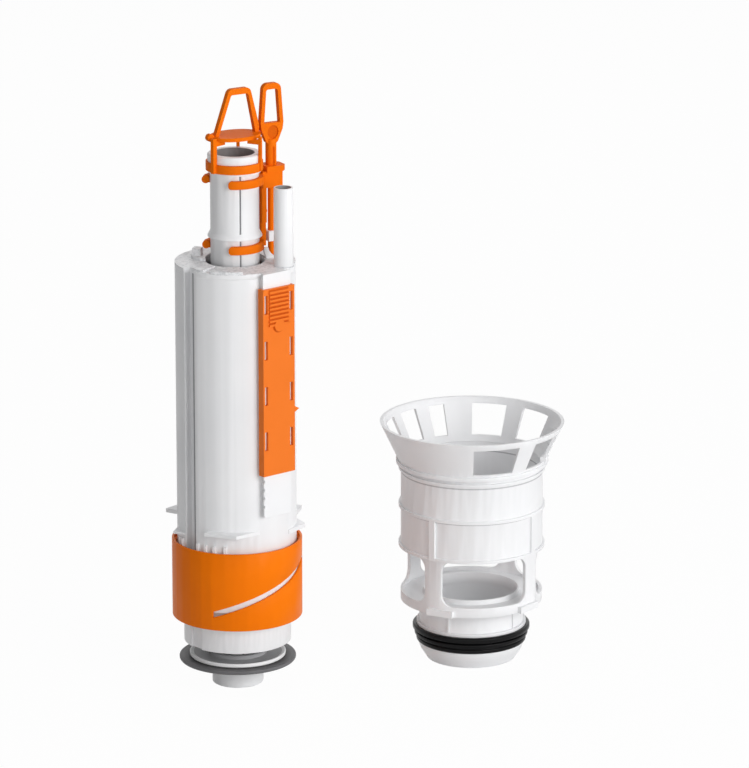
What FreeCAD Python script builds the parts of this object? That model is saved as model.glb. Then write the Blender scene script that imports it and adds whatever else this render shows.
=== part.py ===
import FreeCAD, Part
import math
import os
import Sketcher
from FreeCAD import Placement, Rotation, Vector

# Dual-flush valve of a concealed toilet cistern, taken out of its basket and standing beside it.
# Millimetres. Z is up from the floor that both pieces stand on, X runs to the right and Y away
# from the viewer. The origin is the middle of the basket's outlet. Heights of the valve's pieces
# are counted from its foot. An azimuth is counted from the front (-Y) towards the right (+X).

DOC = FreeCAD.newDocument("FlushValve")
SHEET = DOC.addObject("Spreadsheet::Sheet", "Sizes")

SIZES = {
    # Where the valve stands, seen from the basket's axis
    "valve_left": 125.0,
    "valve_front": 44.0,
    # Clearances
    "loose": 0.3,
    "fit": 0.06,
    "snap": 0.1,
    # Walls of the mouldings
    "wall": 1.8,
    # Basket, from its foot up
    "foot_out": 24.0,
    "foot_bore": 22.2,
    "foot_bore_tall": 7.0,
    "bead_out": 28.6,
    "land_out": 27.7,
    "land_low": 9.4,
    "land_tall": 9.4,
    "collar_out": 29.5,
    "collar_tall": 1.7,
    "neck_out": 28.0,
    "base_low": 32.7,
    "base_thick": 3.5,
    "seat_in": 24.4,
    "seat_wall": 2.0,
    "seat_rise": 2.4,
    "basket_out": 38.1,
    "basket_top": 109.0,
    "window_rise": 1.8,
    "window_tall": 25.0,
    "window_angle": 74.4,
    "window_round": 6.0,
    "window_turn": 11.2,
    "window_count": 4,
    "lug_out": 39.8,
    "lug_wide": 15.0,
    "lug_turn_one": -26.5,
    "lug_turn_two": 51.0,
    "block_turn_one": -60.0,
    "block_turn_two": 70.0,
    "block_wide": 5.0,
    "block_tall": 3.0,
    "block_proud": 2.2,
    "hoop_pitch": 21.8,
    "hoop_proud": 1.2,
    "hoop_tall": 1.6,
    "rim_hoop_drop": 3.2,
    "rim_hoop_tall": 1.2,
    "stay_wide": 3.4,
    "neck_rib_proud": 0.8,
    # Funnel
    "funnel_flange": 40.7,
    "funnel_flange_tall": 2.0,
    "funnel_rim": 49.4,
    "funnel_tall": 22.5,
    "funnel_root": 1.5,
    "funnel_gap_low": 3.4,
    "funnel_gap_high": 3.4,
    "gap_turn_one": 15.5,
    "gap_open_one": 31.0,
    "gap_turn_two": 57.5,
    "gap_open_two": 27.0,
    "gap_turn_three": 129.0,
    "gap_open_three": 26.0,
    "gap_turn_four": 167.0,
    "gap_open_four": 24.0,
    "gap_turn_five": 204.2,
    "gap_open_five": 11.6,
    "gap_turn_six": 228.3,
    "gap_open_six": 15.5,
    "gap_turn_seven": 253.5,
    "gap_open_seven": 17.0,
    "tab_turn": 75.0,
    "tab_out": 41.6,
    "tab_wide": 6.0,
    "tab_tall": 3.6,
    # Lip seal
    "lip_one": 29.6,
    "lip_two": 30.6,
    "lip_three": 31.6,
    # Flush tube
    "tube_out": 12.8,
    "tube_bore": 10.4,
    "tube_over": 57.8,
    "screw_out": 11.8,
    "shoulder": 18.5,
    "rim_out": 14.1,
    "rim_tall": 4.2,
    "stop_out": 13.9,
    "stop_drop": 8.8,
    "stop_tall": 1.2,
    "cone_out": 14.3,
    "cone_drop": 44.4,
    "cone_edge": 0.5,
    "cone_tall": 3.4,
    "seam_turn": 14.5,
    "seam_wide": 0.8,
    "seam_deep": 0.4,
    # Seal stack
    "nut_out": 13.6,
    "seal_out": 31.0,
    "seal_low": 13.0,
    "seal_thick": 2.2,
    "plate_out": 25.5,
    "plate_thick": 1.4,
    "ring_cord": 0.8,
    # Housing
    "skirt_low": 24.1,
    "skirt_out": 28.4,
    "skirt_flange_low": 37.6,
    "skirt_flange_tall": 1.4,
    "barrel_low_out": 30.7,
    "barrel_step_drop": 4.0,
    "barrel_out": 31.6,
    "barrel_top": 228.3,
    "deck_thick": 2.9,
    "deck_hole": 15.5,
    "lobe_turn": -110.0,
    "lobe_at": 16.0,
    "lobe_out": 8.0,
    "lobe_tall": 1.6,
    "peg_turn": -104.5,
    "peg_at": 20.4,
    "peg_wide": 4.7,
    "peg_tall": 5.5,
    "groove_turn": -48.8,
    "groove_wide": 8.0,
    "groove_floor": 27.2,
    "groove_back": 1.3,
    "step_in": 19.5,
    "step_out": 30.8,
    "step_tall": 1.2,
    "step_turn": -7.0,
    "step_angle": 32.0,
    "step_left_turn": -36.0,
    "step_left_angle": 10.0,
    "lug_tall": 2.2,
    "front_from": -27.0,
    "front_corner": 1.0,
    "front_to": 30.0,
    "front_reach": 38.6,
    "front_rise": 9.6,
    "front_tall": 1.8,
    "front_start": 36.2,
    "lug_start": 32.2,
    "left_from": -78.0,
    "left_corner": -67.0,
    "left_to": -55.0,
    "left_reach": 36.2,
    "left_rise": 5.6,
    "left_tall": 1.0,
    "side_from": -145.0,
    "side_corner": -97.0,
    "side_to": -91.0,
    "side_reach": 38.0,
    "side_rise": 11.6,
    "right_from": 60.0,
    "right_corner": 84.0,
    "right_to": 107.0,
    "right_reach": 36.4,
    "right_rise": 6.0,
    "back_from": 103.0,
    "back_corner": 118.0,
    "back_to": 158.0,
    "back_reach": 38.6,
    "back_rise": 9.2,
    "rib_wide": 1.5,
    "rib_tall": 5.1,
    "rib_one": -29.6,
    "rib_zero": -38.4,
    "rib_two": -20.5,
    "rib_three": -9.8,
    "rib_four": -67.0,
    "rib_five": -61.5,
    "rib_proud": 2.1,
    "ledge_turn": 58.0,
    "ledge_angle": 18.0,
    "ledge_thick": 0.9,
    "guide_ring_tall": 6.0,
    "guide_ring_low": 29.5,
    "spoke_wide": 2.0,
    "spoke_count": 4,
    # Throttle ring and its sleeve
    "ring_out": 34.5,
    "ring_low": 38.5,
    "ring_tall": 42.1,
    "sleeve_out": 32.9,
    "sleeve_in": 31.05,
    "sleeve_rise": 9.4,
    "sleeve_tall": 28.1,
    "slot_tall": 3.3,
    "slot_turn": -20.6,
    "slot_rise": 8.5,
    "slot_angle": 114.0,
    "slot_lead": 76.0,
    "slot_count": 2,
    "lip_in": 32.1,
    "lip_tall": 1.0,
    "lip_drop": 2.0,
    "ring_wall": 1.3,
    "pin_out": 1.48,
    "pin_margin": 4.0,
    "key_turn": 35.0,
    "key_wide": 3.0,
    "key_proud": 0.8,
    "key_count": 4,
    "key_rise": 7.5,
    "key_tall": 6.0,
    # Slider and its rail
    "face_turn": 40.0,
    "face_at": 36.0,
    "face_thick": 1.5,
    "face_left": 10.3,
    "face_right": 10.6,
    "face_drop": 7.7,
    "face_tall": 100.5,
    "flange_deep": 4.1,
    "flange_thick": 1.2,
    "hook_deep": 0.9,
    "hook_in": 1.5,
    "rail_reach": 23.0,
    "rail_thick": 1.3,
    "rail_round": 1.5,
    "port_wide": 2.0,
    "port_tall": 10.0,
    "port_half": 8.35,
    "port_pitch": 24.45,
    "port_drop": 3.2,
    "port_count": 4,
    "rail_port_wide": 5.0,
    "notch_out": 1.1,
    "notch_pitch": 4.6,
    "notch_count": 5,
    "grip_proud": 1.0,
    "grip_drop": 20.0,
    "grip_pitch": 2.2,
    "grip_count": 9,
    "grip_half": 6.6,
    "thumb": 3.2,
    "pointer_drop": 67.3,
    "pointer_long": 3.2,
    "pointer_half": 2.2,
    # Bail for the full flush
    "bail_out": 15.0,
    "bail_turn": 31.5,
    "disc_out": 14.2,
    "disc_over": 7.7,
    "disc_thick": 2.0,
    "disc_at": 0.6,
    "disc_half": 10.3,
    "disc_arm_in": 8.0,
    "hoop_over": 24.1,
    "hoop_thick": 3.0,
    "hoop_bar": 2.2,
    "hoop_bar_top": 3.2,
    "hoop_round": 3.2,
    "hoop_round_in": 1.0,
    "hoop_left": 12.4,
    "hoop_right": 14.1,
    "hoop_knee": 3.8,
    "hoop_left_high": 3.6,
    "hoop_right_high": 8.9,
    "post_one_turn": -41.0,
    "post_one_wide": 1.9,
    "post_one_thick": 2.8,
    "post_two_turn": 65.0,
    "post_two_wide": 1.8,
    "post_two_thick": 1.5,
    "post_three_turn": 174.0,
    "post_three_wide": 1.6,
    "post_three_thick": 1.8,
    "post_arm_tall": 2.2,
    "knob": 2.0,
    "knob_at": 14.5,
    "knob_rise": 1.7,
    # Clip for the half flush
    "clip_turn": 119.0,
    "clip_out": 15.2,
    "arm_tall": 4.2,
    "arm_front": -11.0,
    "arm_back": 262.0,
    "arm_round": 1.6,
    "bead_at": 14.9,
    "bead_long": 4.6,
    "arm_drop": 7.8,
    "arm_pitch": 34.9,
    "pull_at": 21.5,
    "clip_box_drop": 11.4,
    "clip_box_wide": 9.0,
    "clip_plate_thick": 2.6,
    "clip_plate_out": 28.0,
    "stud_rise": 18.5,
    "strip_wide": 6.4,
    "strip_slim": 4.6,
    "strip_rise": 12.5,
    # Pull for the half flush
    "stem_seat": 2.0,
    "stem_out": 2.9,
    "flute_wide": 1.3,
    "flute_deep": 0.9,
    "shield_over": 2.0,
    "shield_rise": 8.0,
    "shield_half": 3.4,
    "recess_wide": 6.4,
    "recess_tall": 7.2,
    "recess_deep": 0.7,
    "recess_rise": 6.6,
    "recess_shift": 0.5,
    "loop_tall": 21.0,
    "hip_rise": 11.6,
    "loop_hip": 6.7,
    "loop_half": 5.1,
    "loop_bar": 2.1,
    "loop_bar_top": 3.2,
    "loop_round": 3.4,
    "loop_round_in": 1.2,
    "loop_thick": 3.2,
    "rod_out": 1.85,
    "rod_drop": 31.3,
    "rod_foot": 2.6,
    "rod_guide_rise": 8.4,
    "rod_guide_tall": 5.4,
    "eye_half": 3.2,
    "eye_leg": 1.8,
    "guide_base_half": 5.0,
    "guide_base_thick": 1.0,
    "fin_thick": 1.6,
    "fin_tall": 4.9,
    # Refill tube
    "refill_turn": 66.0,
    "refill_at": 28.0,
    "refill_out": 5.1,
    "refill_bore": 4.0,
    "refill_boss": 0.6,
    "refill_tall": 41.8,
    # Floats and latch inside the housing
    "float_low": 66.0,
    "float_tall": 44.0,
    "float_out": 21.5,
    "float_clip_tall": 3.0,
    "collar_angle": 300.0,
    "half_float_turn": 75.0,
    "half_float_angle": 96.0,
    "half_float_in": 16.0,
    "half_float_out": 28.6,
    "half_float_drop": 58.0,
    "half_float_tall": 40.0,
    "latch_drop": 42.3,
    "latch_thick": 2.5,
    "latch_in": 15.5,
    "latch_out": 19.0,
    "latch_axle_at": 24.5,
    "latch_axle_out": 1.5,
    "latch_axle_long": 17.0,
    "latch_arm_wide": 8.0,
    "latch_barrel_long": 12.0,
    "latch_bracket_angle": 44.0,
    "upper_guide_drop": 27.3,
    "upper_guide_tall": 6.0,
    "upper_spoke_turn": 45.0,
    "upper_spoke_count": 3,
    "catch_drop": 12.0,
    "catch_thick": 2.5,
}


class Size:
    """A length or an angle with its value and the spreadsheet formula that gives it."""

    def __init__(self, value, formula):
        self.value = value
        self.formula = formula

    @staticmethod
    def of(thing):
        return thing if isinstance(thing, Size) else Size(thing, repr(float(thing)))

    def __add__(self, other):
        other = Size.of(other)
        return Size(self.value + other.value, f"({self.formula} + {other.formula})")

    def __sub__(self, other):
        other = Size.of(other)
        return Size(self.value - other.value, f"({self.formula} - {other.formula})")

    def __mul__(self, other):
        other = Size.of(other)
        return Size(self.value * other.value, f"({self.formula} * {other.formula})")

    def __truediv__(self, other):
        other = Size.of(other)
        return Size(self.value / other.value, f"({self.formula} / {other.formula})")

    def __neg__(self):
        return Size(-self.value, f"(0 - {self.formula})")

    def __radd__(self, other):
        return Size.of(other) + self

    def __rsub__(self, other):
        return Size.of(other) - self

    def __rmul__(self, other):
        return Size.of(other) * self

    def sine(self):
        return Size(math.sin(math.radians(self.value)), f"sin({self.formula} * 1deg)")

    def count(self):
        return int(self.value)

    def cosine(self):
        return Size(math.cos(math.radians(self.value)), f"cos({self.formula} * 1deg)")


class Sheet:
    """Fills the spreadsheet and hands its cells out by name."""

    def __init__(self, sizes):
        self.sizes = sizes
        for row, (name, number) in enumerate(sizes.items(), start=1):
            SHEET.set(f"A{row}", name)
            SHEET.set(f"B{row}", str(number))
            SHEET.setAlias(f"B{row}", name)

    def __getattr__(self, name):
        return Size(self.sizes[name], f"Sizes.{name}")


S = Sheet(SIZES)
DOC.recompute()

PARTS = []


def bind(thing, place, size):
    """Ties one property to the spreadsheet."""
    thing.setExpression(place, Size.of(size).formula)


def new_body(label, of_valve=True):
    """An empty body with its label, standing at the valve's or at the basket's axis."""
    body = DOC.addObject("PartDesign::Body", label)
    body.Label = label
    if of_valve:
        body.Placement = Placement(Vector(-S.valve_left.value, -S.valve_front.value, 0), Rotation())
        bind(body, ".Placement.Base.x", -S.valve_left)
        bind(body, ".Placement.Base.y", -S.valve_front)
    PARTS.append(body)
    return body


def datum(body, role):
    return next(item for item in body.Origin.OriginFeatures if item.Role == role)


def new_sketch(body, role):
    sketch = body.newObject("Sketcher::SketchObject", "Sketch")
    sketch.AttachmentSupport = [(datum(body, role), "")]
    sketch.MapMode = "FlatFace"
    return sketch


def flat_sketch(body, high, turn):
    """A level sketch at a height, drawn for the azimuth 0 and turned to the azimuth turn."""
    high, turn = Size.of(high), Size.of(turn)
    sketch = new_sketch(body, "XY_Plane")
    sketch.AttachmentOffset = Placement(Vector(0, 0, high.value), Rotation(Vector(0, 0, 1), turn.value))
    bind(sketch, ".AttachmentOffset.Base.z", high)
    bind(sketch, ".AttachmentOffset.Rotation.Angle", turn)
    return sketch


def upright_sketch(body, turn, out=0):
    """An upright sketch that faces the azimuth turn, at the distance out from the axis."""
    turn, out = Size.of(turn), Size.of(out)
    across, ahead = out * turn.sine(), out * turn.cosine()
    sketch = new_sketch(body, "XZ_Plane")
    turned = Rotation(Vector(0, 1, 0), turn.value)
    sketch.AttachmentOffset = Placement(Vector(across.value, 0, ahead.value), turned)
    bind(sketch, ".AttachmentOffset.Rotation.Angle", turn)
    bind(sketch, ".AttachmentOffset.Base.x", across)
    bind(sketch, ".AttachmentOffset.Base.z", ahead)
    return sketch


def tie(sketch, kind, index, point, size):
    """One dimension from the sketch's origin, bound to the spreadsheet."""
    size = Size.of(size)
    number = sketch.addConstraint(Sketcher.Constraint(kind, -1, 1, index, point, size.value))
    bind(sketch, f"Constraints[{number}]", size)


def add_outline(sketch, corners):
    """A closed run of straight edges through the corners, each corner dimensioned."""
    corners = [(Size.of(across), Size.of(up)) for across, up in corners]
    points = [Vector(across.value, up.value, 0) for across, up in corners]
    first = sketch.GeometryCount
    for start, end in zip(points, points[1:] + points[:1]):
        sketch.addGeometry(Part.LineSegment(start, end), False)
    count = len(corners)
    for index in range(count):
        after = first + (index + 1) % count
        sketch.addConstraint(Sketcher.Constraint("Coincident", first + index, 2, after, 1))
    for index, (across, up) in enumerate(corners):
        tie(sketch, "DistanceX", first + index, 1, across)
        tie(sketch, "DistanceY", first + index, 1, up)


def add_circle(sketch, across, up, radius):
    """A circle with its middle and radius dimensioned."""
    across, up, radius = Size.of(across), Size.of(up), Size.of(radius)
    circle = Part.Circle(Vector(across.value, up.value, 0), Vector(0, 0, 1), radius.value)
    index = sketch.addGeometry(circle, False)
    tie(sketch, "DistanceX", index, 3, across)
    tie(sketch, "DistanceY", index, 3, up)
    number = sketch.addConstraint(Sketcher.Constraint("Radius", index, radius.value))
    bind(sketch, f"Constraints[{number}]", radius)


def plan_point(turn, radius):
    """The place in plan of a point at an azimuth and a radius."""
    turn, radius = Size.of(turn), Size.of(radius)
    return radius * turn.sine(), -(radius * turn.cosine())


def oval(across, up, half_wide, half_tall, corners=16):
    """The corners of an upright oval."""
    points = []
    for index in range(corners):
        turn = math.tau * index / corners
        points.append((across + half_wide * math.cos(turn), up + half_tall * math.sin(turn)))
    return points


def box(left, right, low, high):
    """The four corners of an upright rectangle."""
    return [(left, low), (right, low), (right, high), (left, high)]


def revolve(body, corners, angle=None, turn=0, cut=False):
    """Turns a half section about the axis: whole, or a sector about the azimuth turn."""
    sketch = upright_sketch(body, Size.of(turn) - 90)
    add_outline(sketch, corners)
    kind = "PartDesign::Groove" if cut else "PartDesign::Revolution"
    feature = body.newObject(kind, "Turned")
    feature.Profile = sketch
    feature.ReferenceAxis = (sketch, ["V_Axis"])
    if angle is None:
        feature.Angle = 360
    else:
        feature.Midplane = True
        feature.Angle = Size.of(angle).value
        bind(feature, "Angle", angle)
    return feature


def grow(body, sketch, length, cut, middle=False):
    """Pads a sketch, or pockets it, along the sketch's own normal."""
    feature = body.newObject("PartDesign::Pocket" if cut else "PartDesign::Pad", "Grown")
    feature.Profile = sketch
    feature.Length = Size.of(length).value
    bind(feature, "Length", length)
    if middle:
        feature.Midplane = True
    elif cut:
        feature.Reversed = True
    return feature


def upward(body, low, tall, outlines=(), circles=(), turn=0, cut=False):
    """Plan outlines, drawn for the azimuth 0 and turned to turn, raised from the height low."""
    sketch = flat_sketch(body, low, turn)
    for corners in outlines:
        add_outline(sketch, corners)
    for circle in circles:
        add_circle(sketch, *circle)
    return grow(body, sketch, tall, cut)


def outward(body, turn, out, deep, outlines=(), circles=(), cut=False):
    """Outlines on the upright plane that faces the azimuth turn, carried outward from it."""
    sketch = upright_sketch(body, turn, out)
    for corners in outlines:
        add_outline(sketch, corners)
    for circle in circles:
        add_circle(sketch, *circle)
    return grow(body, sketch, deep, cut)


def around(body, feature, count):
    """Repeats a feature evenly about the axis."""
    pattern = body.newObject("PartDesign::PolarPattern", "Around")
    pattern.Originals = [feature]
    pattern.Axis = (datum(body, "Z_Axis"), [""])
    pattern.Angle = 360
    pattern.Occurrences = int(Size.of(count).value)
    bind(pattern, "Occurrences", count)
    body.Tip = pattern
    return pattern


def round_edges(body, radius, wanted):
    """Fillets the edges of the body so far that the test wanted accepts."""
    DOC.recompute()
    base = body.Tip
    names = [f"Edge{n}" for n, edge in enumerate(base.Shape.Edges, start=1) if wanted(edge)]
    fillet = body.newObject("PartDesign::Fillet", "Rounded")
    fillet.Base = (base, names)
    fillet.Radius = Size.of(radius).value
    bind(fillet, "Radius", radius)
    return fillet


def round_across(body, radius, high, long):
    """Fillets the straight edges that lie level at a height and are as long as given."""
    def wanted(edge):
        if len(edge.Vertexes) != 2 or abs(edge.Length - long.value) > 0.01:
            return False
        return all(abs(vertex.Z - high.value) < 0.01 for vertex in edge.Vertexes)

    return round_edges(body, radius, wanted)


def deck_level():
    """Height of the deck's top."""
    return S.barrel_top + S.deck_thick


def tube_level():
    """Height of the tube's rim."""
    return deck_level() + S.tube_over


def stop_level():
    """Height of the tube's flange that the bail's collar sits on."""
    return tube_level() - S.stop_drop


def box_level():
    """Height of the underside of the clip's box."""
    return stop_level() - S.clip_box_drop


def stem_level():
    """Height of the stem's lower end, down in the clip's box."""
    return box_level() + S.stem_seat


def face_level():
    """Height of the slider's upper end."""
    return deck_level() - S.face_drop


def port_level():
    """Height of the top of the highest ports, in the slider, the rail and the barrel."""
    return face_level() - S.port_drop


def rail_level():
    """Height of the rail's lower end, which leaves the slider its way down."""
    return face_level() - S.face_tall - S.rail_reach


def ring_level():
    """Height of the throttle ring's upper edge."""
    return S.ring_low + S.ring_tall


def slot_level():
    """Height of the slots' lower ends at the middle of their width."""
    return S.ring_low + S.slot_rise


def latch_level():
    """Height of the underside of the release latch."""
    return S.barrel_top - S.latch_drop


def basket_body():
    """Basket: foot cone, seal land, neck, base plate, four legs and the barrel above them."""
    body = new_body("basket_body", of_valve=False)
    land_high = S.land_low + S.land_tall
    collar_high = land_high + S.collar_tall
    base_high = S.base_low + S.base_thick
    window_low = base_high + S.window_rise
    window_high = window_low + S.window_tall
    hoop_high = window_high + S.hoop_pitch
    inside = S.basket_out - S.wall
    seat_out = S.seat_in + S.seat_wall
    neck_in = S.neck_out - S.wall
    revolve(body, [
        (S.foot_bore, 0),
        (S.foot_out, 0),
        (S.foot_out + (S.bead_out - S.foot_out) * 0.72, S.land_low * 0.55),
        (S.bead_out, S.land_low - 0.8),
        (S.bead_out, S.land_low),
        (S.land_out, S.land_low),
        (S.land_out, land_high),
        (S.collar_out, land_high),
        (S.collar_out, collar_high),
        (S.neck_out, collar_high),
        (S.neck_out, S.base_low),
        (S.basket_out, S.base_low),
        (S.basket_out, S.basket_top),
        (inside, S.basket_top),
        (inside, base_high),
        (seat_out, base_high),
        (seat_out - S.seat_wall * 0.3, base_high + S.seat_rise),
        (seat_out - S.seat_wall * 0.7, base_high + S.seat_rise),
        (S.seat_in, base_high),
        (S.seat_in, S.base_low + 1.3),
        (neck_in, S.base_low - S.wall),
        (neck_in, S.foot_bore_tall + 6),
        (S.foot_bore, S.foot_bore_tall),
    ])
    for low, tall in (
        (window_high, S.hoop_tall),
        (hoop_high, S.hoop_tall),
        (S.basket_top - S.rim_hoop_drop, S.rim_hoop_tall),
    ):
        revolve(body, box(inside + 0.5, S.basket_out + S.hoop_proud, low, low + tall))
    leg_turn = S.window_turn + 45
    for turn in (S.lug_turn_one, S.lug_turn_two):
        lug = upward(body, S.base_low, S.base_thick, outlines=[[
            (S.lug_wide / 2, -S.lug_out),
            (S.lug_wide / 2, -seat_out - 6),
            (-S.lug_wide / 2, -seat_out - 6),
            (-S.lug_wide / 2, -S.lug_out),
        ]], turn=turn)
        around(body, lug, 2)
    stay_half = S.stay_wide / 2
    stay = outward(body, leg_turn, inside + 0.6, S.wall - 0.6 + S.hoop_proud, outlines=[
        box(-stay_half, stay_half, window_high, hoop_high + S.hoop_tall / 2),
    ])
    around(body, stay, S.window_count)
    rib_half = S.neck_rib_proud / 2
    for turn in (S.lug_turn_one, S.lug_turn_two):
        rib = outward(body, turn, neck_in + 0.6, S.wall - 0.6 + S.neck_rib_proud, outlines=[
            box(-rib_half, rib_half, collar_high - 0.2, S.base_low + 0.2),
        ])
        around(body, rib, 2)
    block_half = S.block_wide / 2
    for turn in (S.block_turn_one, S.block_turn_two):
        block = outward(body, turn, neck_in + 0.6, S.wall - 0.6 + S.block_proud, outlines=[
            box(-block_half, block_half, S.base_low - S.block_tall, S.base_low + 0.2),
        ])
        around(body, block, 2)
    window = revolve(
        body,
        box(inside - 3, S.basket_out + S.hoop_proud + 3, window_low, window_high),
        angle=S.window_angle, turn=S.window_turn, cut=True,
    )
    around(body, window, S.window_count)

    def window_corner(edge):
        if len(edge.Vertexes) != 2 or not isinstance(edge.Curve, (Part.Line, Part.LineSegment)):
            return False
        one, two = (vertex.Point for vertex in edge.Vertexes)
        at_end = min(abs(one.z - window_low.value), abs(one.z - window_high.value)) < 0.01
        level = abs(one.z - two.z) < 0.01
        reach = sorted((math.hypot(one.x, one.y), math.hypot(two.x, two.y)))
        through_wall = reach[0] > inside.value - 0.1 and reach[1] - reach[0] > 0.9 * S.wall.value
        return at_end and level and through_wall

    round_edges(body, S.window_round, window_corner)


def basket_funnel():
    """Funnel ring: a flange on the basket's edge, a flared wall with windows and two tabs."""
    body = new_body("basket_funnel", of_valve=False)
    low = S.basket_top
    flange_high = low + S.funnel_flange_tall
    top = low + S.funnel_tall
    inside = S.basket_out - S.wall
    revolve(body, [
        (inside, low),
        (S.funnel_flange, low),
        (S.funnel_flange, flange_high),
        (S.basket_out + S.funnel_root, flange_high),
        (S.funnel_rim, top),
        (S.funnel_rim - S.wall, top),
        (S.basket_out + S.funnel_root - S.wall, flange_high - 0.4),
        (inside, low + 0.6),
    ])
    for turn, opening in (
        (S.gap_turn_one, S.gap_open_one),
        (S.gap_turn_two, S.gap_open_two),
        (S.gap_turn_three, S.gap_open_three),
        (S.gap_turn_four, S.gap_open_four),
        (S.gap_turn_five, S.gap_open_five),
        (S.gap_turn_six, S.gap_open_six),
        (S.gap_turn_seven, S.gap_open_seven),
    ):
        revolve(
            body,
            box(inside - 4, S.funnel_rim + 4, low + S.funnel_gap_low, top - S.funnel_gap_high),
            angle=opening, turn=turn, cut=True,
        )
    tab_half = S.tab_wide / 2
    tab = outward(body, S.tab_turn, S.basket_out, S.tab_out - S.basket_out, outlines=[
        box(-tab_half, tab_half, flange_high - 0.3, flange_high + S.tab_tall),
    ])
    around(body, tab, 2)


def basket_lip_seal():
    """Rubber seal with three lips that grow from the foot up, held between bead and collar."""
    body = new_body("basket_lip_seal", of_valve=False)
    low = S.land_low
    high = S.land_low + S.land_tall
    inner = S.land_out + 0.05
    root = S.land_out + 1.2
    third = S.land_tall / 3
    revolve(body, [
        (inner, low),
        (S.lip_one - 0.6, low),
        (S.lip_one, low + third * 0.2),
        (S.lip_one, low + third * 0.7),
        (root, low + third * 0.8),
        (root, low + third),
        (S.lip_two, low + third * 1.2),
        (S.lip_two, low + third * 1.7),
        (root, low + third * 1.8),
        (root, low + third * 2),
        (S.lip_three, low + third * 2.2),
        (S.lip_three, low + third * 2.8),
        (S.lip_three - 0.8, high),
        (inner, high),
    ])


def overflow_tube():
    """Overflow and lifting tube: screw end, shoulder, two flanges, top rim and a mould seam."""
    body = new_body("overflow_tube")
    top, stop = tube_level(), stop_level()
    cone_low = top - S.cone_drop
    rim_low = top - S.rim_tall
    edge_high = cone_low + S.cone_edge
    revolve(body, [
        (S.tube_bore, 0),
        (S.screw_out, 0),
        (S.screw_out, S.shoulder),
        (S.tube_out, S.shoulder),
        (S.tube_out, cone_low),
        (S.cone_out, cone_low),
        (S.cone_out, edge_high),
        (S.tube_out, cone_low + S.cone_tall),
        (S.tube_out, stop - S.stop_tall),
        (S.stop_out, stop - S.stop_tall),
        (S.stop_out, stop),
        (S.tube_out, stop),
        (S.tube_out, rim_low),
        (S.rim_out, rim_low),
        (S.rim_out, top - 0.6),
        (S.rim_out - 0.6, top),
        (S.tube_bore, top),
    ])
    seam_half = S.seam_wide / 2
    outward(body, S.seam_turn, S.tube_out - S.seam_deep, 2, outlines=[
        box(-seam_half, seam_half, S.shoulder + 1, cone_low),
        box(-seam_half, seam_half, cone_low + S.cone_tall, stop - S.stop_tall),
    ], cut=True)


def seal_nut():
    """Nut under the flush seal, on the screw end of the tube."""
    body = new_body("seal_nut")
    inner = S.screw_out + S.snap / 2
    revolve(body, [
        (inner, 0),
        (S.nut_out - 0.5, 0),
        (S.nut_out, 0.5),
        (S.nut_out, S.seal_low - 1.6),
        (S.nut_out + 1.4, S.seal_low - 1.6),
        (S.nut_out + 1.4, S.seal_low),
        (inner, S.seal_low),
    ])


def flush_seal():
    """Flat rubber ring that closes the basket's seat."""
    body = new_body("flush_seal")
    low, high = S.seal_low, S.seal_low + S.seal_thick
    revolve(body, [
        (S.screw_out + S.snap / 2, low),
        (S.seal_out - 0.6, low),
        (S.seal_out, low + 0.7),
        (S.seal_out, high - 0.4),
        (S.seal_out - 0.4, high),
        (S.screw_out + S.snap / 2, high),
    ])


def seal_retainer():
    """White plate on the flush seal: a hub under the tube's shoulder and a raised outer rim."""
    body = new_body("seal_retainer")
    low = S.seal_low + S.seal_thick
    inner = S.screw_out + S.snap / 2
    hub_out = S.rim_out + 1.5
    gland = S.screw_out + S.ring_cord * 2 + 0.2
    gland_low = S.shoulder - S.ring_cord * 2 - 0.1
    revolve(body, [
        (inner, low),
        (S.plate_out - 1.6, low),
        (S.plate_out, low + 1.5),
        (S.plate_out, low + 2.1),
        (S.plate_out - 0.9, low + 2.1),
        (S.plate_out - 2.2, low + S.plate_thick),
        (hub_out, low + S.plate_thick),
        (hub_out, S.shoulder),
        (gland, S.shoulder),
        (gland, gland_low),
        (inner, gland_low),
    ])


def tube_o_ring():
    """Cord ring that seals the tube's shoulder against the retainer."""
    body = new_body("tube_o_ring")
    middle = S.screw_out + S.snap + S.ring_cord
    high = S.shoulder - S.ring_cord - 0.05
    sketch = upright_sketch(body, -90)
    add_circle(sketch, middle, high, S.ring_cord)
    feature = body.newObject("PartDesign::Revolution", "Turned")
    feature.Profile = sketch
    feature.ReferenceAxis = (sketch, ["V_Axis"])
    feature.Angle = 360


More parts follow.
